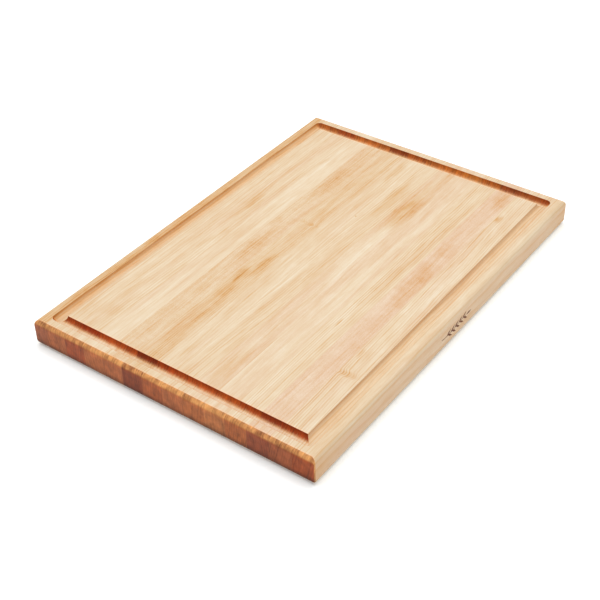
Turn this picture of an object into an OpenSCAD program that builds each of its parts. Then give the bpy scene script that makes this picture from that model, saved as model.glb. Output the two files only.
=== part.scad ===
// Edge-grain maple carving board with a juice groove.
// Full-length staves are glued edge to edge, then the panel is trimmed, grooved and rounded as one.
// Origin: centre of the underside. +X runs with the grain, +Z is up. Millimetres.

/* [Board] */
// Length, measured with the grain
board_l = 508; // [300:1:700]
// Width, measured across the staves
board_w = 355.6; // [250:0.1:500]
// Thickness
board_t = 31.75; // [25:0.05:45]
// Radius of the rounded top and bottom edges
edge_r = 6.35; // [2:0.05:10]
// Radius of the four upright corners
corner_r = 1.6; // [0.5:0.1:4]

/* [Staves] */
// Width of the outermost stave on the +Y side, which is trimmed narrower than the rest
trimmed_w = 18.9; // [8:0.1:25]
// Thickness of the glue line between two staves
glue_t = 0.15; // [0.05:0.01:0.3]

/* [Juice groove] */
// Width of the rim outside the groove
rim_w = 12.7; // [11:0.1:30]
// Radius of the round-nosed cutter, which is half the groove's width
groove_r = 6.35; // [4:0.05:8]
// Depth of the groove; what exceeds the cutter's radius is straight wall
groove_d = 6.35; // [4:0.05:12]

/* [Hidden] */
$fn = 96;
stave_count = 14;
glue_count = stave_count - 1;
stave_pitch = (board_w - trimmed_w) / glue_count;
path_x = board_l / 2 - rim_w - groove_r;
path_y = board_w / 2 - rim_w - groove_r;
nose_z = board_t - groove_d + groove_r;
// How far a tool solid runs past the faces it cuts
overrun = 5;
// Timber tone of each stave, from the trimmed one at +Y to the one at -Y
stave_tones = [
    "burlywood", "wheat", "navajowhite", "moccasin", "tan", "burlywood", "wheat",
    "moccasin", "wheat", "navajowhite", "moccasin", "peachpuff", "wheat", "burlywood"
];

function two_digits(i) = i < 10 ? str("0", i) : str(i);
function stave_name(i) = str("stave_", two_digits(i));
function glue_name(i) = str("glue_line_", two_digits(i));
// Y of seam i, counted from the trimmed stave: 0 and stave_count are the board's two long faces
function seam_y(i) =
    i == 0 ? board_w / 2 : board_w / 2 - trimmed_w - (i - 1) * stave_pitch;

// Rectangle centred on X, standing on its lower edge, with four rounded corners
module rounded_rectangle(width, height, r) {
    translate([-width / 2 + r, 0])
        square([width - 2 * r, height]);
    translate([-width / 2, r])
        square([width, height - 2 * r]);
    for (x = [-1, 1], y = [r, height - r])
        translate([x * (width / 2 - r), y])
            circle(r);
}

// The glued panel after trimming, with every edge rounded and before the groove is cut
module panel() {
    intersection() {
        rotate([90, 0, 90])
            linear_extrude(board_l + 2 * overrun, center = true)
                rounded_rectangle(board_w, board_t, edge_r);
        rotate([90, 0, 0])
            linear_extrude(board_w + 2 * overrun, center = true)
                rounded_rectangle(board_l, board_t, edge_r);
        translate([0, -board_w / 2, 0])
            linear_extrude(board_t)
                rounded_rectangle(board_l, board_w, corner_r);
    }
}

// One straight run of the groove along X, centred on the origin: round nose, straight wall above
module groove_run(length) {
    translate([0, 0, nose_z]) {
        rotate([0, 90, 0])
            cylinder(r = groove_r, h = length, center = true);
        translate([-length / 2, -groove_r, 0])
            cube([length, 2 * groove_r, overrun]);
    }
}

// The groove where the cutter turns a corner
module groove_turn() {
    translate([0, 0, nose_z]) {
        sphere(groove_r);
        cylinder(r = groove_r, h = overrun);
    }
}

// The groove across the +X end, with the two turns that join it to the long runs
module groove_end() {
    translate([path_x, 0, 0])
        rotate(90)
            groove_run(2 * path_y);
    for (side = [-1, 1])
        translate([path_x, side * path_y, 0])
            groove_turn();
}

// What the cutter removes on its way round. Its centre turns square corners, so the groove's
// inner corners are sharp and its outer corners have the cutter's own radius.
module groove_path() {
    for (side = [-1, 1])
        translate([0, side * path_y, 0])
            groove_run(2 * path_x);
    groove_end();
    mirror([1, 0, 0])
        groove_end();
}

// The finished board as one body, from which the staves and glue lines are taken
module board() {
    difference() {
        panel();
        groove_path();
    }
}

// The finished board between two positions across its width
module slice(from_y, to_y) {
    intersection() {
        board();
        translate([-board_l, from_y, -overrun])
            cube([2 * board_l, to_y - from_y, board_t + 2 * overrun]);
    }
}

// A maple stave: everything between two glue lines, or between a glue line and a long face
module stave(i) {
    half_glue_low = i < stave_count ? glue_t / 2 : 0;
    half_glue_high = i > 1 ? glue_t / 2 : 0;
    color(stave_tones[i - 1])
        slice(seam_y(i) + half_glue_low, seam_y(i - 1) - half_glue_high);
}

// The cured glue in seam i, flush with the board all round and in the groove
module glue_line(i) {
    color("peru")
        slice(seam_y(i) - glue_t / 2, seam_y(i) + glue_t / 2);
}

for (i = [1:stave_count])
    stave(i);
for (i = [1:glue_count])
    glue_line(i);
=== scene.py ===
"""Edge-grain maple carving board with a juice groove, dressed for a studio picture.

The board is built once as a stack of rounded rectangles, from the underside round to the
field inside the groove, and then sawn into its staves and glue lines where the frame has them.
Lengths named in millimetres are turned into metres with MM.
"""

import math
from collections import namedtuple

import bmesh
import bpy
from mathutils import Matrix, Vector


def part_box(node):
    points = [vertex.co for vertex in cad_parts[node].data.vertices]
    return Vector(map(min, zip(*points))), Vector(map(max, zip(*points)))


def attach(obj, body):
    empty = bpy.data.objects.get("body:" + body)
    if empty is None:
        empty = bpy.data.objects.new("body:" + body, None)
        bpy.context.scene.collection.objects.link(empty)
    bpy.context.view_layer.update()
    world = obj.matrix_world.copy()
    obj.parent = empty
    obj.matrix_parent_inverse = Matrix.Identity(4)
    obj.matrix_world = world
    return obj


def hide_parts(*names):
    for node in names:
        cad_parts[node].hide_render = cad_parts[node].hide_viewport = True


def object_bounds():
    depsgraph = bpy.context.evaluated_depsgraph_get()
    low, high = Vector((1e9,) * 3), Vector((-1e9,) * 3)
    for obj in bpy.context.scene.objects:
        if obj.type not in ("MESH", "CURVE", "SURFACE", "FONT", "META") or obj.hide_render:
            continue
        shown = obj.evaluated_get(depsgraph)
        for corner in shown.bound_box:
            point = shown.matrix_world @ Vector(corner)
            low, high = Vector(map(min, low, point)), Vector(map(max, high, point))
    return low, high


MM = 0.001
BODY = "root"

# ---- board outline, millimetres -------------------------------------------------------------
RIM = 12.7  # flat and rounded border outside the groove
GROOVE_R = 6.35  # radius of the half-round groove
EDGE_R = 6.35  # roundover of the long and short edges
CORNER_R = 1.6  # rounding of the four upright corners
ARRIS_R = 0.35  # sanded ease on both lips of the groove
FIELD_CORNER_R = 0.35  # upright corners of the field inside the groove

CORNER_STEPS = 8
EDGE_STEPS = 14
ARRIS_STEPS = 5
GROOVE_STEPS = 28
SHARP_ANGLE = math.radians(35)

# ---- camera ---------------------------------------------------------------------------------
CAMERA_AZIMUTH = -53.423  # degrees from -Y towards +X
CAMERA_ELEVATION = 38.279  # degrees above the floor
CAMERA_ROLL = -1.4526  # degrees
CAMERA_DISTANCE = 1315.26  # millimetres from the target
CAMERA_TARGET = (-39.0, -6.5, -0.3)  # millimetres
CAMERA_LENS = 72.503  # focal length in millimetres
CAMERA_SENSOR = 36.0  # width in millimetres
CAMERA_CLIP = (0.05, 50.0)  # metres

# ---- wood -----------------------------------------------------------------------------------
# A mark is a stretched blot in the wood of one stave. along is its X, across is its distance
# from the stave's middle line towards +Y, and half and reach are its half length and half
# width, all in millimetres. tone makes it browner (or paler, below 0), and lift pushes the
# growth rings sideways round it, in millimetres.
Mark = namedtuple("Mark", "along across half reach tone lift", defaults=(0.0,))

# tone goes from pale cream (0) to brown (1); pink leans the colour from yellow to salmon; end
# is the colour of the end grain; pitch is the spacing of the growth rings in millimetres; tilt
# is their lean in the end grain, in degrees; slope is how far the ring lines run sideways per
# unit along the board; lines and curl are the strengths of the ring lines and of the fine
# cross-hatched figure.
Stave = namedtuple("Stave", "slot tone pink end pitch tilt slope lines curl marks")

STAVES = [
    # The first stave's long pale mark lies along the groove's +Y run: painted light that lifts the
    # groove's shade.
    Stave("maple_tan", 0.745, 0.0, (147, 81, 50), 2.6, 14, 0.004, 1.1, 0.3,
          [Mark(0, -7.5, 400, 4.5, -0.24)]),
    Stave("maple_tan", 0.40, 0.0, (159, 88, 50), 2.9, -9, -0.003, 1.0, 0.2,
          [Mark(-207, 1, 28, 2.5, 0.12)]),
    Stave("maple_tan", 0.41, 0.1, (149, 71, 38), 3.4, 12, 0.006, 1.2, 0.3,
          [Mark(-175, 8, 66, 4, 0.16), Mark(-194, -2, 13, 8, 0.16), Mark(-15, -6, 16, 2, 0.20),
           Mark(45, 2, 44, 12, 0.18, 1.5), Mark(48, 1, 17, 7, 0.12),
           Mark(110, 6, 60, 4, 0.10)]),
    Stave("maple_pale", 0.29, 0.0, (169, 95, 53), 3.8, -6, 0.002, 0.5, 0.15,
          [Mark(122, 4, 88, 10, -0.06), Mark(-20, 0, 90, 13, 0.10)]),
    Stave("maple_brown", 0.51, 0.2, (161, 90, 51), 3.1, 8, -0.004, 0.6, 1.0,
          [Mark(-21, 0, 40, 11, 0.10), Mark(133, 0, 50, 12, 0.14)]),
    Stave("maple_brown", 0.53, 0.0, (127, 59, 31), 2.7, -12, 0.010, 1.0, 0.5,
          [Mark(-150, -1, 120, 9, 0.12), Mark(-98, 3, 22, 8, 0.18), Mark(-69, 5, 18, 8, 0.26),
           Mark(-44, -4, 22, 8, 0.26),
           Mark(48, 1, 4, 13, 0.16, 3.0), Mark(110, 2, 80, 7, 0.06, 2.5)]),
    Stave("maple_tan", 0.425, 0.0, (159, 83, 43), 3.3, 9, -0.006, 1.1, 0.25,
          [Mark(195, 3, 30, 5, 0.20), Mark(0, -9, 320, 4.5, -0.14),
           Mark(90, -9.6, 1.4, 1.2, 0.5)]),
    Stave("maple_pale", 0.45, 0.0, (162, 91, 51), 3.0, -10, 0.034, 1.6, 0.2,
          [Mark(140, 2, 46, 8, 0.22), Mark(0, 10, 320, 3.5, -0.14),
           Mark(-120, 3, 90, 5, 0.09)]),
    Stave("maple_pink", 0.39, 0.3, (166, 94, 50), 3.6, 7, 0.003, 0.6, 0.4,
          [Mark(-198, -1, 42, 11, 0.15), Mark(130, 0, 46, 15, 0.38), Mark(195, 0, 60, 11, 0.13),
           Mark(20, -3, 90, 10, -0.12)]),
    Stave("maple_pink", 0.36, 0.3, (167, 100, 56), 4.0, -5, -0.002, 0.35, 0.3, []),
    Stave("maple_pale", 0.39, 0.0, (159, 87, 45), 2.6, 11, -0.007, 1.8, 0.2,
          [Mark(-79, 2, 9, 1.8, 0.34), Mark(-180, 5, 80, 8, -0.12), Mark(40, -5, 200, 6, 0.08)]),
    Stave("maple_pink", 0.445, 1.0, (135, 66, 38), 3.2, -8, 0.004, 0.5, 0.9,
          [Mark(-11, -4, 22, 10, 0.18), Mark(28, -1, 34, 13, 0.22), Mark(90, 0, 18, 13, 0.18),
           Mark(214, 0, 20, 13, 0.18)]),
    Stave("maple_pale", 0.395, 0.2, (146, 76, 42), 2.7, 13, -0.022, 1.8, 0.25,
          [Mark(-140, 1, 5.5, 12, 0.24, 2.5), Mark(-108, 8, 10, 3.2, 0.22, 1.0),
           Mark(175, 7, 9, 4, 0.34, 1.5), Mark(20, 0, 80, 10, -0.12)]),
    Stave("maple_tan", 0.43, 0.0, (147, 68, 30), 3.0, 12, 0.005, 1.6, 0.2,
          [Mark(-205, -2, 50, 14, 0.10), Mark(60, -4, 110, 10, -0.08)]),
]

# Colours are 8-bit display colours. These go from sapwood cream to mineral brown, at rising tone.
WOOD_TONES = [
    (0.00, (216, 205, 185)),
    (0.25, (210, 192, 165)),
    (0.42, (205, 182, 151)),
    (0.58, (202, 173, 136)),
    (0.70, (199, 165, 124)),
    (0.82, (195, 151, 98)),
    (1.00, (180, 127, 66)),
]
BLUSH = (255, 249, 255)  # multiplies a fully pink stave
# Painted sheen and overhead light: the end grain on the rounded edges is a paler tan.
END_SHEEN_TAN = (189, 134, 80)  # end grain on the rounded edges
GLUE_TONE = (196, 156, 112)
GLUE_END = (104, 60, 36)
BURN_DARK = (84, 48, 34)
BURN_LIGHT = (140, 90, 64)

# Linear factors on the colour of the wood.
# Painted light: a warmer tint on long grain that faces sideways.
SIDE_PAINTED_WARM_LIGHT = (1.05, 0.975, 0.945)  # long grain that faces sideways
# Painted highlight: a brighter orange line on long grain beside an end-grain lip.
LIP_PAINTED_HIGHLIGHT = (1.12, 1.02, 0.97)  # long grain beside an end-grain lip
# Painted light on the long grain of the groove's walls.
GROOVE_WALL_PAINTED_LIGHT = (1.10, 1.03, 0.95)  # long grain on the groove's walls
GROOVE_AMBER = (0.97, 0.87, 0.62)  # and where the groove starts to face the fibres
# Painted shade and bounce light on the end grain in the groove: darker, deeper orange in the -X
# run, a little lighter and warmer in the +X run.
NEAR_GROOVE_END_SHADE = (1.02, 0.64, 0.28)  # end grain in the groove's -X run
FAR_GROOVE_END_LIGHT = (1.10, 1.10, 0.56)  # and in its +X run

# A pattern is a noise with blobs of the given sizes along X, Y and Z, in millimetres. seed makes
# it different from the others; detail and roughness are those of the noise.
Pattern = namedtuple("Pattern", "sizes seed detail roughness", defaults=(2.0, 0.5))
CLOUD = Pattern((140, 10, 16), 4.2)  # broad paler and browner areas
STRAND = Pattern((60, 2.2, 4), 5.6, roughness=0.6)  # long streaks
WISP = Pattern((24, 5.5, 7), 12.6)  # short soft streaks
FIBRE = Pattern((18, 0.7, 0.9), 6.8, 3.0, 0.6)  # fine fibres
WEAVE = Pattern((1.9, 1.1, 3), 7.7, 1.0)  # mottle of a curly stave
RIPPLE = Pattern((7, 14, 14), 8.5, 1.0)  # cross waves of a curly stave
PORE = Pattern((2.2, 0.16, 0.25), 9.1, 1.0)  # tiny dark dashes
BOW = Pattern((240, 60, 60), 1.1)  # slow bending of the grain
WANDER = Pattern((60, 11, 14), 2.3)  # quicker bending
WAVER = Pattern((24, 4.0, 6), 0.4)  # uneven outline of a mark
TEETH = Pattern((7, 0.55, 9), 3.9, 3.0)  # fibres that turn into end grain sooner or later
RAY = Pattern((5, 0.6, 16), 10.2, 3.0, 0.6)  # upright rays in the end grain
BRUISE = Pattern((9, 7, 9), 11.4, 3.0)  # blotches in the end grain
GLUE_PATCH = Pattern((14, 6, 6), 2.9, 3.0)
BURN_PATCH = Pattern((2.4, 1.0, 1.6), 8.2, 4.0)
CHAR = Pattern((0.4, 0.4, 0.4), 3.3)
PAPER = Pattern((3, 3, 3), 1.0)
SEED_STEP = (7.31, 3.17, 5.73)  # how far a seed of 1 moves a noise
STAVE_SEED = 1.37  # added for each stave
RING_SEED = 31.0  # what a seed of 1 adds to the count of rings

# Lengths in millimetres.
BOW_DEPTH = 9.0  # how far the grain bows sideways
WANDER_DEPTH = 2.4  # and wanders about that
MARK_DEPTH = 14.0  # half depth of a mark
SKIN = 2.0  # how far a mark's middle, and the top of the end's shading, lie under the top
NEAR_END = (200, 262)  # distance from the middle over which the long sides turn browner

END_DARKEST = 127  # red of the darkest end colour, whose rounded edge stays the darkest
END_SPAN = 20  # an end colour redder than that by this much has the full tan edge
DULL_SPECULAR = 0.2  # oiled wood and dried glue

# ---- studio, metres -------------------------------------------------------------------------
FLOOR_HALF = 6.0  # half its side
FLOOR_GAP = 0.0002  # between the floor and the underside
FLOOR_GLOW = 0.14  # light of the backlit floor, which keeps the shadow faint
FLOOR_TONES = ((241, 247, 250), (243, 249, 252))  # 8-bit
LAMP_SIZE = (2.4, 2.0)
LAMP_PLACE = (0.15, 0.10, 2.1)
LAMP_POWER = 41.2  # watts
LAMP_COLOUR = (1.0, 0.985, 0.96)
SURROUND_COLOUR = (1.0, 0.965, 0.93, 1.0)
SURROUND_STRENGTH = 0.68

# ---- burned twig on the -Y face, millimetres ------------------------------------------------
TWIG_CENTRE = (1.0, 16.5)  # X and Z of its middle
TWIG_LENGTH = 60.0
TWIG_SWAY = 1.2  # how far the stem bends off its straight line
LEAF_LENGTH = 9.5
LEAF_WIDTH = 2.4
LEAF_ANGLE = 33.0  # degrees from the stem
LEAF_PLACES = (-0.66, -0.40, -0.14, 0.12, 0.38)  # of each pair, from -1 to 1 along the twig
STEM_WIDTH = 0.8
LEAF_STEPS = 14
STEM_STEPS = 40
LEAF_LAG = 0.09  # how much further along the stem the lower leaf of a pair starts
BURN_PROUD = 0.03  # how far its front stands before the wood
BURN_BACK = 0.06  # and its back lies inside it


def linear(colour):
    """Linear RGBA of an 8-bit display colour."""
    def one(value):
        value /= 255
        return value / 12.92 if value <= 0.04045 else ((value + 0.055) / 1.055) ** 2.4

    return (*[one(value) for value in colour], 1.0)


# =============================================================================================
# Mesh
# =============================================================================================
def rounded_ring(half_x, half_y, corner, z):
    """Points of a rounded rectangle at height z, anticlockwise seen from above."""
    points = []
    for quarter, (side_x, side_y) in enumerate([(1, 1), (-1, 1), (-1, -1), (1, -1)]):
        for step in range(CORNER_STEPS + 1):
            angle = math.pi / 2 * (quarter + step / CORNER_STEPS)
            points.append((
                side_x * (half_x - corner) + corner * math.cos(angle),
                side_y * (half_y - corner) + corner * math.sin(angle),
                z,
            ))
    return points


def arc(start, end, steps):
    """Cosine and sine of steps + 1 angles from start to end, in degrees."""
    for step in range(steps + 1):
        angle = math.radians(start + (end - start) * step / steps)
        yield math.cos(angle), math.sin(angle)


def board_rings(length, width, thick):
    """The board's rings in order: underside, lower edge, side, upper edge, rim, groove, field."""
    half_x, half_y = length / 2, width / 2
    corner, edge = CORNER_R * MM, EDGE_R * MM
    rings = []
    for cos_a, sin_a in arc(-90, 0, EDGE_STEPS):
        inset = edge * (1 - cos_a)
        rings.append((half_x - inset, half_y - inset, corner, edge * (1 + sin_a)))
    for cos_a, sin_a in arc(0, 90, EDGE_STEPS):
        inset = edge * (1 - cos_a)
        rings.append((half_x - inset, half_y - inset, corner, thick - edge * (1 - sin_a)))

    groove, ease = GROOVE_R * MM, ARRIS_R * MM
    lip = math.sqrt((groove + ease) ** 2 - ease**2)  # from the cutter's path to the ease's centre
    meet = math.degrees(math.asin(ease / (groove + ease)))
    ease_z = thick - ease
    outer_lip = [(lip + ease * c, ease_z + ease * s) for c, s in arc(90, 180 - meet, ARRIS_STEPS)]
    trough = [(groove * c, thick + groove * s) for c, s in arc(-meet, meet - 180, GROOVE_STEPS)]
    field_side = [(ease * c - lip, ease_z + ease * s) for c, s in arc(meet, 90, ARRIS_STEPS)]
    profile = outer_lip + trough[1:-1] + field_side
    path_x = half_x - (RIM + GROOVE_R) * MM
    path_y = half_y - (RIM + GROOVE_R) * MM
    for out, z in profile:
        rings.append((path_x + out, path_y + out, max(out, FIELD_CORNER_R * MM), z))
    return [rounded_ring(*ring) for ring in rings]


def board_mesh(length, width, thick):
    """The whole board as one closed bmesh."""
    bm = bmesh.new()
    rings = [[bm.verts.new(point) for point in ring] for ring in board_rings(length, width, thick)]
    bm.faces.new(reversed(rings[0]))
    bm.faces.new(rings[-1])
    count = len(rings[0])
    for lower, upper in zip(rings, rings[1:]):
        for i in range(count):
            j = (i + 1) % count
            bm.faces.new((lower[i], lower[j], upper[j], upper[i]))
    bmesh.ops.remove_doubles(bm, verts=bm.verts, dist=1e-7)
    return bm


def saw(bm, y, keep):
    """Saws the mesh at y, keeps the side towards keep (1 is +Y) and closes the cut."""
    geometry = bm.verts[:] + bm.edges[:] + bm.faces[:]
    cut = bmesh.ops.bisect_plane(
        bm, geom=geometry, dist=1e-8, plane_co=(0, y, 0), plane_no=(0, -keep, 0), clear_outer=True
    )
    edges = [item for item in cut["geom_cut"] if isinstance(item, bmesh.types.BMEdge)]
    bmesh.ops.edgenet_fill(bm, edges=edges)


def finish_mesh(bm, name):
    """Makes an object of the bmesh, shaded smooth with its sharp edges kept."""
    bmesh.ops.recalc_face_normals(bm, faces=bm.faces)
    for face in bm.faces:
        face.smooth = True
    for edge in bm.edges:
        edge.smooth = len(edge.link_faces) == 2 and edge.calc_face_angle() < SHARP_ANGLE
    mesh = bpy.data.meshes.new(name)
    bm.to_mesh(mesh)
    bm.free()
    piece = bpy.data.objects.new(name, mesh)
    bpy.context.scene.collection.objects.link(piece)
    return piece


def sawn_piece(board, node, name):
    """The slice of the board that stands for one CAD node."""
    low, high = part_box(node)
    bm = board.copy()
    if low.y > BOARD_LOW.y + MM:
        saw(bm, low.y, 1)
    if high.y < BOARD_HIGH.y - MM:
        saw(bm, high.y, -1)
    piece = finish_mesh(bm, name)
    weighted = piece.modifiers.new("even shading", "WEIGHTED_NORMAL")
    weighted.mode = "FACE_AREA"
    weighted.keep_sharp = True
    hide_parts(node)
    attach(piece, BODY)
    return piece


# =============================================================================================
# Shader helpers
# =============================================================================================
class Graph:
    """Adds nodes to one material and wires them as it goes."""

    def __init__(self, name):
        self.material = bpy.data.materials.new(name)
        self.material.use_nodes = True
        tree = self.material.node_tree
        self.nodes, self.links = tree.nodes, tree.links
        self.shader = next(node for node in self.nodes if node.type == "BSDF_PRINCIPLED")

    def put(self, socket, value):
        """Links a socket to another, or sets its value."""
        if isinstance(value, bpy.types.NodeSocket):
            self.links.new(value, socket)
        else:
            socket.default_value = value

    def math(self, operation, *values):
        """One sum on numbers."""
        node = self.nodes.new("ShaderNodeMath")
        node.operation = operation
        for socket, value in zip(node.inputs, values):
            self.put(socket, value)
        return node.outputs[0]

    def vector(self, operation, *values):
        """One sum on vectors or colours."""
        node = self.nodes.new("ShaderNodeVectorMath")
        node.operation = operation
        for socket, value in zip(node.inputs, values):
            self.put(socket, value)
        return node.outputs["Value" if operation == "LENGTH" else "Vector"]

    def scale(self, vector, factor):
        """The vector or colour times a number."""
        node = self.nodes.new("ShaderNodeVectorMath")
        node.operation = "SCALE"
        self.put(node.inputs[0], vector)
        self.put(node.inputs["Scale"], factor)
        return node.outputs["Vector"]

    def split(self, vector):
        """The three parts of a vector."""
        node = self.nodes.new("ShaderNodeSeparateXYZ")
        self.put(node.inputs[0], vector)
        return node.outputs[:]

    def point(self):
        """The place on the piece, in millimetres."""
        coordinates = self.nodes.new("ShaderNodeTexCoord")
        return self.vector("MULTIPLY", coordinates.outputs["Object"], [1 / MM] * 3)

    def normal(self):
        """The surface direction, turning with the piece."""
        return self.nodes.new("ShaderNodeTexCoord").outputs["Normal"]

    def noise(self, point, pattern, seed=0.0):
        """Cloudy value around 0, mostly from -0.5 to 0.5, in blobs of the pattern's sizes."""
        seed += pattern.seed
        scaled = self.vector(
            "MULTIPLY_ADD", point, [1 / size for size in pattern.sizes],
            [seed * step for step in SEED_STEP],
        )
        node = self.nodes.new("ShaderNodeTexNoise")
        self.put(node.inputs["Vector"], scaled)
        self.put(node.inputs["Scale"], 1.0)
        self.put(node.inputs["Detail"], pattern.detail)
        self.put(node.inputs["Roughness"], pattern.roughness)
        return self.math("SUBTRACT", node.outputs[0], 0.5)

    def dice(self, value):
        """A random number from 0 to 1 for each whole value."""
        node = self.nodes.new("ShaderNodeTexWhiteNoise")
        node.noise_dimensions = "1D"
        self.put(node.inputs["W"], value)
        return node.outputs["Value"]

    def fade(self, value, low, high, to_low=0.0, to_high=1.0):
        """Smooth step of value from low to high."""
        node = self.nodes.new("ShaderNodeMapRange")
        node.interpolation_type = "SMOOTHSTEP"
        names = ("Value", "From Min", "From Max", "To Min", "To Max")
        for name, number in zip(names, (value, low, high, to_low, to_high)):
            self.put(node.inputs[name], number)
        return node.outputs["Result"]

    def tint(self, share, colour, factors):
        """The colour, multiplied by linear factors where share is 1."""
        return self.blend(share, colour, self.vector("MULTIPLY", colour, factors))

    def blend(self, factor, first, second, mode="MIX"):
        """Mixes two colours."""
        node = self.nodes.new("ShaderNodeMix")
        node.data_type = "RGBA"
        node.blend_type = mode
        colours = [socket for socket in node.inputs if socket.type == "RGBA"]
        self.put(node.inputs[0], factor)
        self.put(colours[0], first)
        self.put(colours[1], second)
        return next(socket for socket in node.outputs if socket.type == "RGBA")

    def ramp(self, value, stops):
        """Colour of value on a list of (place, 8-bit colour)."""
        node = self.nodes.new("ShaderNodeValToRGB")
        self.put(node.inputs[0], value)
        elements = node.color_ramp.elements
        while len(elements) < len(stops):
            elements.new(0.5)
        for element, (place, colour) in zip(elements, stops):
            element.position = place
            element.color = linear(colour)
        return node.outputs["Color"]

    def bump(self, height, strength, distance):
        """Relief on the shader's surface, distance metres high at full strength."""
        node = self.nodes.new("ShaderNodeBump")
        self.put(node.inputs["Strength"], strength)
        self.put(node.inputs["Distance"], distance)
        self.put(node.inputs["Height"], height)
        self.put(self.shader.inputs["Normal"], node.outputs["Normal"])


# =============================================================================================
# Wood
# =============================================================================================
# A Place holds a point, its x and z, the size of its x, how far the surface there faces along
# the fibres and sideways (0 to 1), 1 on an upright long side, and 1 nearer the board's middle
# than the outer lips of the groove's short runs. top is the height of the board's top.
Place = namedtuple("Place", "point x z x_size along sideways upright inside top")

# The values of one stave's patterns.
Figure = namedtuple("Figure", "lines cloud strand wisp fibre weave ripple pores")


def weighted_sum(graph, terms):
    """Sum of (value, weight) pairs."""
    total = 0.0
    for value, weight in terms:
        total = graph.math("MULTIPLY_ADD", value, weight, total)
    return total


def mark_masks(graph, point, stave, middle, top, seed):
    """A mask from 0 to 1 for each mark of the stave; their outlines waver with the grain."""
    waver = graph.noise(point, WAVER, seed)
    masks = []
    for mark in stave.marks:
        sizes = (mark.half, mark.reach, MARK_DEPTH)
        centre = (mark.along, middle + mark.across, top - SKIN)
        offset = graph.vector(
            "MULTIPLY_ADD", point, [1 / size for size in sizes],
            [-place / size for place, size in zip(centre, sizes)],
        )
        distance = graph.math("MULTIPLY_ADD", waver, 0.7, graph.vector("LENGTH", offset))
        masks.append(graph.fade(distance, 0.30, 1.25, 1.0, 0.0))
    return masks


def grain_drift(graph, point, stave, masks, seed):
    """How far the grain has wandered sideways at a point, in millimetres."""
    terms = [
        (graph.split(point)[0], stave.slope),
        (graph.noise(point, BOW, seed), BOW_DEPTH),
        (graph.noise(point, WANDER, seed), WANDER_DEPTH),
    ]
    terms += [(mask, mark.lift) for mask, mark in zip(masks, stave.marks) if mark.lift]
    return weighted_sum(graph, terms)


def ring_lines(graph, point, stave, drift, seed):
    """Thin late-wood lines of the growth rings, 0 to 1, each ring with its own strength."""
    _, y, z = graph.split(point)
    tilt = math.radians(stave.tilt)
    depth = weighted_sum(graph, [(y, math.cos(tilt)), (z, math.sin(tilt)), (drift, 1.0)])
    count = graph.math("DIVIDE", depth, stave.pitch)
    phase = graph.math("FRACT", count)
    strength = graph.dice(graph.math("ADD", graph.math("FLOOR", count), seed * RING_SEED))
    rise = graph.fade(phase, 0.35, 0.90)
    fall = graph.fade(phase, 0.90, 1.0, 1.0, 0.0)
    line = graph.math("MULTIPLY", rise, fall)
    return graph.math("MULTIPLY", line, graph.math("MULTIPLY_ADD", strength, 0.9, 0.1))


def stave_figure(graph, point, stave, masks, seed):
    """The patterns of one stave; the long ones follow the drift of its grain."""
    drift = grain_drift(graph, point, stave, masks, seed)
    flow = graph.vector("ADD", point, graph.vector("MULTIPLY", drift, (0.0, 1.0, 0.0)))
    return Figure(
        lines=ring_lines(graph, point, stave, drift, seed),
        cloud=graph.noise(flow, CLOUD, seed),
        strand=graph.noise(flow, STRAND, seed),
        wisp=graph.noise(flow, WISP, seed),
        fibre=graph.noise(flow, FIBRE, seed),
        weave=graph.noise(point, WEAVE, seed),
        ripple=graph.noise(point, RIPPLE, seed),
        pores=graph.fade(graph.noise(point, PORE, seed), 0.12, 0.30),
    )


def wood_place(graph, top):
    """Where each point of the wood lies and which way its surface faces."""
    point = graph.point()
    x, _, z = graph.split(point)
    x_size = graph.math("ABSOLUTE", x)
    along, sideways, _ = [graph.math("ABSOLUTE", part) for part in graph.split(graph.normal())]
    return Place(
        point=point,
        x=x,
        z=z,
        x_size=x_size,
        along=along,
        sideways=sideways,
        upright=graph.fade(sideways, 0.85, 1.0),
        inside=graph.math("LESS_THAN", x_size, PATH_X + GROOVE_R + 1.0),
        top=top,
    )


def in_rim(graph, point):
    """1 inside the groove's outer lip, 0 on the border outside it."""
    x, y, _ = graph.split(point)
    near_x = graph.math("LESS_THAN", graph.math("ABSOLUTE", x), PATH_X + GROOVE_R + ARRIS_R)
    near_y = graph.math("LESS_THAN", graph.math("ABSOLUTE", y), PATH_Y + GROOVE_R + ARRIS_R)
    return graph.math("MULTIPLY", near_x, near_y)


def field_lip(graph, point):
    """1 on the field within a millimetre of the ends of its grain, fading to 0."""
    x, y, _ = graph.split(point)
    from_lip = graph.math("SUBTRACT", PATH_X - GROOVE_R, graph.math("ABSOLUTE", x))
    strip = graph.fade(from_lip, 0.6, 2.6, 1.0, 0.0)
    strip = graph.math("MULTIPLY", strip, graph.math("GREATER_THAN", from_lip, -0.2))
    beside = graph.math("LESS_THAN", graph.math("ABSOLUTE", y), PATH_Y - GROOVE_R)
    return graph.math("MULTIPLY", strip, beside)


def end_grain_share(graph, place, seed):
    """0 on long grain to 1 on end grain, from how far the surface faces along the fibres.

    The cutter burnished the groove, so there the change is long; on the outer edge it is crisp.
    """
    teeth = graph.noise(place.point, TEETH, seed)
    reach = graph.math("MULTIPLY_ADD", place.inside, 0.45, 0.12)
    facing = graph.math("MULTIPLY_ADD", teeth, reach, place.along)
    low = graph.math("MULTIPLY_ADD", place.inside, -0.16, 0.26)
    high = graph.math("MULTIPLY_ADD", place.inside, 0.42, 0.36)
    return graph.fade(facing, low, high)


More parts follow.
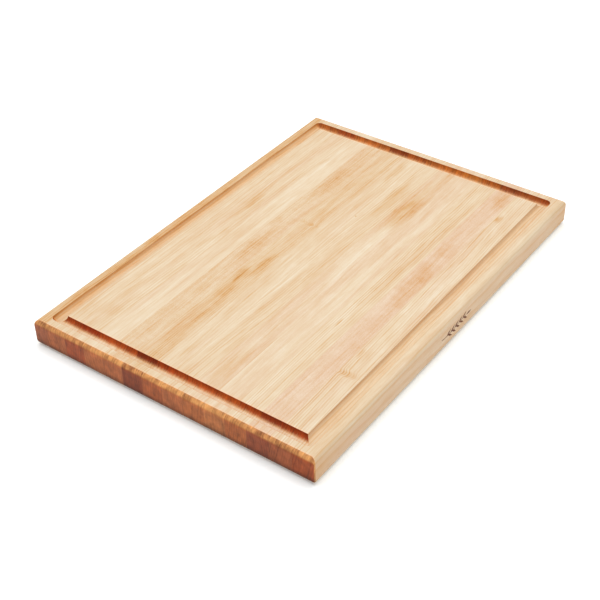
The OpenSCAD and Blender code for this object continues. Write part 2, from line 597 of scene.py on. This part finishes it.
def grain_tone(graph, place, stave, figure, masks):
    """How brown the long grain is, as a place in WOOD_TONES."""
    grain = weighted_sum(graph, [
        (figure.lines, 0.24 * stave.lines),
        (figure.cloud, 0.46),
        (figure.strand, 0.54),
        (figure.wisp, 0.38),
        (figure.fibre, 0.48),
        (figure.weave, 0.50 * stave.curl),
        (figure.ripple, 0.25 * stave.curl),
        (figure.pores, 0.06),
    ] + [(mask, mark.tone) for mask, mark in zip(masks, stave.marks)])
    calm_sides = graph.math("MULTIPLY_ADD", place.sideways, -0.45, 1.0)
    near_end = graph.math("MULTIPLY", place.sideways, graph.fade(place.x_size, *NEAR_END))
    return weighted_sum(graph, [
        (1.0, stave.tone - 0.03 - 0.04 * stave.lines),
        (place.upright, 0.08),
        (near_end, 0.22),
        (1.0, graph.math("MULTIPLY", grain, calm_sides)),
    ])


def long_grain_colour(graph, place, stave, figure, masks):
    """Cream to brown wood, blushed, with painted warm light on the upright sides, a painted
    highlight beside the lips and painted light on the groove's walls.
    """
    colour = graph.ramp(grain_tone(graph, place, stave, figure, masks), WOOD_TONES)
    pinkness = graph.math("MULTIPLY_ADD", figure.cloud, 1.5, stave.pink)
    pink = graph.blend(1.0, colour, linear(BLUSH), "MULTIPLY")
    colour = graph.blend(pinkness, colour, pink)
    # Painted warm light on the upright long-grain faces.
    colour = graph.tint(place.upright, colour, SIDE_PAINTED_WARM_LIGHT)
    # Painted highlight along the field's lips and where long grain starts to face the fibres.
    lip = graph.math("MAXIMUM", field_lip(graph, place.point), graph.fade(place.along, 0.05, 0.20))
    colour = graph.tint(lip, colour, LIP_PAINTED_HIGHLIGHT)
    sunk = graph.fade(place.z, place.top - 0.6, place.top - 0.1, 1.0, 0.0)
    in_groove = graph.math("MULTIPLY", sunk, in_rim(graph, place.point))
    # Painted light: the groove's sloping long-grain walls are made brighter.
    painted_wall_light = graph.math("MULTIPLY", in_groove, graph.fade(place.sideways, 0.15, 0.6))
    colour = graph.tint(painted_wall_light, colour, GROOVE_WALL_PAINTED_LIGHT)
    turning = graph.math("MULTIPLY", in_groove, graph.fade(place.along, 0.05, 0.5))
    return graph.tint(turning, colour, GROOVE_AMBER)


def end_grain_colour(graph, place, stave, figure, seed):
    """Dark end grain with rays and bruises; painted shade darkens it towards the underside and
    painted light lightens it near the top; the paler tan on the rounded edges is painted sheen; in
    the groove, painted shade and bounce light tint it darker in the -X run and lighter in the +X
    run.
    """
    rays = graph.noise(place.point, RAY, seed)
    bruise = graph.noise(place.point, BRUISE, seed)
    shade = weighted_sum(graph, [
        (1.0, 1.02), (rays, 1.1), (bruise, 1.3), (figure.lines, -0.3), (figure.fibre, 0.2),
    ])
    # Painted shade darkens the end grain towards the underside, and painted light lightens it near
    # the top.
    painted_underside_shade = graph.fade(place.z, 5.0, 11.0, 0.50, 1.0)
    painted_top_light = graph.fade(place.z, 19.0, place.top - SKIN, 1.0, 1.10)
    shade = graph.math("MULTIPLY", shade, graph.math("MULTIPLY", painted_underside_shade, painted_top_light))
    dark = graph.scale(linear(stave.end)[:3], shade)
    paleness = min((stave.end[0] - END_DARKEST) / END_SPAN, 1.0)
    # Painted sheen: the rounded end edges turn a paler tan, less so on darker staves.
    sheen_tan_share = graph.math("MULTIPLY_ADD", bruise, 1.3, 0.54 + 0.26 * paleness)
    sheen_tan = graph.scale(graph.blend(sheen_tan_share, linear(stave.end), linear(END_SHEEN_TAN)), shade)
    outside = graph.blend(graph.fade(place.along, 0.83, 1.0), sheen_tan, dark)
    # Painted shade and bounce light on the end grain in the groove, different in its two runs.
    far_run = graph.math("GREATER_THAN", place.x, 0.0)
    groove_end_shade_and_light = graph.blend(far_run, (*NEAR_GROOVE_END_SHADE, 1.0), (*FAR_GROOVE_END_LIGHT, 1.0))
    return graph.blend(place.inside, outside, graph.vector("MULTIPLY", dark, groove_end_shade_and_light))


def maple(number, stave):
    """Oiled hard maple of one stave: cream to brown long grain and darker end grain."""
    low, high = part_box(node_name("stave", number))
    middle, top = (low.y + high.y) / 2 / MM, high.z / MM
    seed = number * STAVE_SEED
    graph = Graph(f"maple {number:02d}")
    place = wood_place(graph, top)
    masks = mark_masks(graph, place.point, stave, middle, top, seed)
    figure = stave_figure(graph, place.point, stave, masks, seed)
    share = end_grain_share(graph, place, seed)
    long_grain = long_grain_colour(graph, place, stave, figure, masks)
    end_grain = end_grain_colour(graph, place, stave, figure, seed)
    graph.put(graph.shader.inputs["Base Color"], graph.blend(share, long_grain, end_grain))
    graph.shader.inputs["Specular IOR Level"].default_value = DULL_SPECULAR
    rough = weighted_sum(graph, [
        (1.0, 0.46), (figure.strand, 0.14), (figure.fibre, 0.12), (share, 0.10),
    ])
    graph.put(graph.shader.inputs["Roughness"], rough)
    relief = weighted_sum(graph, [
        (figure.fibre, 0.5), (figure.strand, 0.4), (figure.lines, -0.25), (figure.pores, -0.5),
    ])
    graph.bump(relief, 0.25, 0.00012)
    return graph.material


def glue():
    """Thin dried glue between two staves, browner where it meets the end grain."""
    graph = Graph("glue line")
    point = graph.point()
    along = graph.math("ABSOLUTE", graph.split(graph.normal())[0])
    patches = graph.noise(point, GLUE_PATCH)
    tone = graph.math("MULTIPLY_ADD", patches, 0.5, 0.5)
    long_side = graph.blend(tone, linear(GLUE_TONE), linear(WOOD_TONES[1][1]))
    colour = graph.blend(graph.fade(along, 0.36, 0.6), long_side, linear(GLUE_END))
    graph.put(graph.shader.inputs["Base Color"], colour)
    graph.shader.inputs["Roughness"].default_value = 0.4
    graph.shader.inputs["Specular IOR Level"].default_value = DULL_SPECULAR
    return graph.material


def burnt_wood():
    """Scorched strokes, blacker in the middle of each burn and browner in patches."""
    graph = Graph("burnt wood")
    point = graph.point()
    patches = graph.noise(point, BURN_PATCH)
    char = graph.noise(point, CHAR)
    tone = weighted_sum(graph, [(1.0, 0.35), (patches, 1.6), (char, 0.5)])
    colour = graph.blend(tone, linear(BURN_DARK), linear(BURN_LIGHT))
    graph.put(graph.shader.inputs["Base Color"], colour)
    graph.put(graph.shader.inputs["Roughness"], graph.math("MULTIPLY_ADD", char, 0.3, 0.75))
    graph.shader.inputs["Specular IOR Level"].default_value = DULL_SPECULAR
    graph.bump(char, 0.3, 0.0001)
    return graph.material


# =============================================================================================
# Burned twig
# =============================================================================================
def stroke(bm, points, widths, front, back):
    """A closed thin bar along points (X, Z), as wide as widths, from y = front to y = back."""
    rows = []
    for i, (point, width) in enumerate(zip(points, widths)):
        before, after = points[max(i - 1, 0)], points[min(i + 1, len(points) - 1)]
        direction = Vector((after[0] - before[0], after[1] - before[1])).normalized()
        side = Vector((-direction.y, direction.x)) * width / 2
        corners = [(1, front), (-1, front), (-1, back), (1, back)]
        rows.append([
            bm.verts.new((point[0] + sign * side.x, y, point[1] + sign * side.y))
            for sign, y in corners
        ])
    bm.faces.new(rows[0])
    bm.faces.new(reversed(rows[-1]))
    for here, there in zip(rows, rows[1:]):
        for i in range(4):
            j = (i + 1) % 4
            bm.faces.new((here[i], there[i], there[j], here[j]))


def twig_height(t):
    """How far the stem is above the twig's middle, at t from -1 to 1 along it."""
    return TWIG_SWAY * math.sin(t * math.pi * 0.85)


def leaf(base, angle):
    """Middle line and widths of a slim leaf that starts at base and points along angle."""
    middle, widths = [], []
    for step in range(LEAF_STEPS + 1):
        t = step / LEAF_STEPS
        middle.append((
            base[0] + LEAF_LENGTH * t * math.cos(angle),
            base[1] + LEAF_LENGTH * t * math.sin(angle),
        ))
        widths.append(max(LEAF_WIDTH * math.sin(math.pi * t**0.8), 0.25))
    return middle, widths


def burned_twig():
    """A plain leafy twig burned into the -Y face of the board."""
    low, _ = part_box(node_name("stave", len(STAVES)))
    front, back = low.y / MM - BURN_PROUD, low.y / MM + BURN_BACK
    bm = bmesh.new()
    half = TWIG_LENGTH / 2
    stem_end = 1 - LEAF_LENGTH / half
    shares = [step / STEM_STEPS for step in range(STEM_STEPS + 1)]
    places = [share * (1 + stem_end) - 1 for share in shares]
    stem = [(t * half, twig_height(t)) for t in places]
    strokes = [(stem, [STEM_WIDTH * (1.2 - 0.5 * share) for share in shares])]
    for t in LEAF_PLACES:
        for side, later in ((1, 0.0), (-1, LEAF_LAG)):
            base = ((t + later) * half, twig_height(t + later))
            strokes.append(leaf(base, side * math.radians(LEAF_ANGLE)))
    strokes.append(leaf((stem_end * half, twig_height(stem_end)), 0.0))
    for points, widths in strokes:
        placed = [(x + TWIG_CENTRE[0], z + TWIG_CENTRE[1]) for x, z in points]
        stroke(bm, placed, widths, front, back)
    bmesh.ops.scale(bm, vec=(MM, MM, MM), verts=bm.verts)
    piece = finish_mesh(bm, "burned_twig_mark")
    piece.data.materials.append(burnt_wood())
    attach(piece, BODY)


# =============================================================================================
# Studio
# =============================================================================================
def make_floor():
    """A wide pale floor at the height of the board's underside."""
    bm = bmesh.new()
    bm.faces.new([
        bm.verts.new((x * FLOOR_HALF, y * FLOOR_HALF, 0))
        for x, y in ((-1, -1), (1, -1), (1, 1), (-1, 1))
    ])
    floor = finish_mesh(bm, "studio_floor")
    floor.location.z = BOARD_LOW.z - FLOOR_GAP
    graph = Graph("floor paper")
    grain = graph.math("ADD", graph.noise(graph.point(), PAPER), 0.5)
    paper = graph.blend(grain, *[linear(tone) for tone in FLOOR_TONES])
    graph.put(graph.shader.inputs["Base Color"], paper)
    graph.shader.inputs["Emission Color"].default_value = (1.0, 1.0, 1.0, 1.0)
    graph.shader.inputs["Emission Strength"].default_value = FLOOR_GLOW
    graph.shader.inputs["Roughness"].default_value = 0.9
    graph.shader.inputs["Specular IOR Level"].default_value = 0.1
    floor.data.materials.append(graph.material)


def make_lights():
    """A big soft box overhead and an even surround, both a little warm."""
    box = bpy.data.lights.new("soft box", "AREA")
    box.shape = "RECTANGLE"
    box.size, box.size_y = LAMP_SIZE
    box.energy = LAMP_POWER
    box.color = LAMP_COLOUR
    lamp = bpy.data.objects.new("soft box", box)
    bpy.context.scene.collection.objects.link(lamp)
    lamp.location = LAMP_PLACE
    lamp.rotation_euler = (-lamp.location).to_track_quat("-Z", "Y").to_euler()

    world = bpy.data.worlds.new("surround")
    bpy.context.scene.world = world
    world.use_nodes = True
    background = next(node for node in world.node_tree.nodes if node.type == "BACKGROUND")
    background.inputs["Color"].default_value = SURROUND_COLOUR
    background.inputs["Strength"].default_value = SURROUND_STRENGTH


def make_camera():
    """The camera that sees the board as in the picture."""
    azimuth, elevation, roll = map(math.radians, (CAMERA_AZIMUTH, CAMERA_ELEVATION, CAMERA_ROLL))
    back = Vector((
        math.sin(azimuth) * math.cos(elevation),
        -math.cos(azimuth) * math.cos(elevation),
        math.sin(elevation),
    ))
    level = (-back).cross(Vector((0, 0, 1))).normalized()
    upright = level.cross(-back)
    right = level * math.cos(roll) + upright * math.sin(roll)
    up = upright * math.cos(roll) - level * math.sin(roll)
    data = bpy.data.cameras.new("camera")
    data.sensor_width = CAMERA_SENSOR
    data.lens = CAMERA_LENS
    data.clip_start, data.clip_end = CAMERA_CLIP
    camera = bpy.data.objects.new("camera", data)
    bpy.context.scene.collection.objects.link(camera)
    turn = Matrix((right, up, back)).transposed().to_4x4()
    place = (Vector(CAMERA_TARGET) + back * CAMERA_DISTANCE) * MM
    camera.matrix_world = Matrix.Translation(place) @ turn
    bpy.context.scene.camera = camera


def node_name(kind, number):
    """Name of a CAD node, such as stave_01."""
    return f"{kind}_{number:02d}"


def build_board():
    """Saws every stave and glue line out of the board; each stave gets its own maple, the glue
    lines share one glue.
    """
    size = BOARD_HIGH - BOARD_LOW
    board = board_mesh(size.x, size.y, size.z)
    for number, stave in enumerate(STAVES, start=1):
        piece = sawn_piece(board, node_name("stave", number), f"maple_stave_{number:02d}")
        piece.data.materials.append(maple(number, stave))
    glue_material = glue()
    for number in range(1, len(STAVES)):
        piece = sawn_piece(board, node_name("glue_line", number), f"glue_film_{number:02d}")
        piece.data.materials.append(glue_material)
    board.free()


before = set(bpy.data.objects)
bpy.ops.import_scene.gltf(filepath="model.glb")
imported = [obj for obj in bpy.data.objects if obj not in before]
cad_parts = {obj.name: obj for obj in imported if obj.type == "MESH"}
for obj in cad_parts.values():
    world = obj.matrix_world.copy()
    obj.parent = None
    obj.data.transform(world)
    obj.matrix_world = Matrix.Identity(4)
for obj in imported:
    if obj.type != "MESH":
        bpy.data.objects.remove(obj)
BOARD_LOW, BOARD_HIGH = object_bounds()
PATH_X = BOARD_HIGH.x / MM - RIM - GROOVE_R  # X of the groove's short runs, millimetres
PATH_Y = BOARD_HIGH.y / MM - RIM - GROOVE_R  # Y of its long runs

bpy.context.scene.view_settings.view_transform = "Standard"
build_board()
burned_twig()
make_floor()
make_lights()
make_camera()
